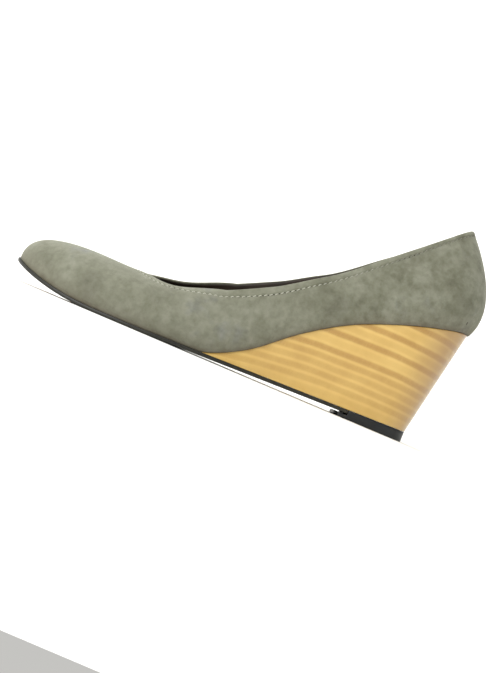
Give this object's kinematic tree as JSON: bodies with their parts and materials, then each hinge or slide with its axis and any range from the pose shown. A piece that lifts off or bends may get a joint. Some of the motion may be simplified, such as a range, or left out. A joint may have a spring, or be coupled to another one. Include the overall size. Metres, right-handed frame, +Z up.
{
  "type": "wedge court shoe",
  "caption": "Left low-cut court shoe with a closed almond toe, a grey suede upper and a tapering stacked-wood wedge that runs from heel to ball.",
  "frame": {"origin": "on the floor under the middle of the shoe's length and width", "axes": "+X towards the toe, +Y towards the outer side of the left foot, +Z up; the shoe stands on Z = 0"},
  "size_m": [0.2466, 0.0812, 0.1219],
  "materials": {
    "suede": "brushed nap, matt",
    "sock_leather": "smooth, satin",
    "stacked_veneer": "stained layers under clear lacquer",
    "sole_leather": "smooth, tan, worn at the tread",
    "lift_rubber": "moulded, matt"
  },
  "bodies": {
    "root": {"upper": "suede", "insole": "sock_leather", "wedge": "stacked_veneer", "outsole": "sole_leather", "top_lift": "lift_rubber"}
  },
  "joints": []
}
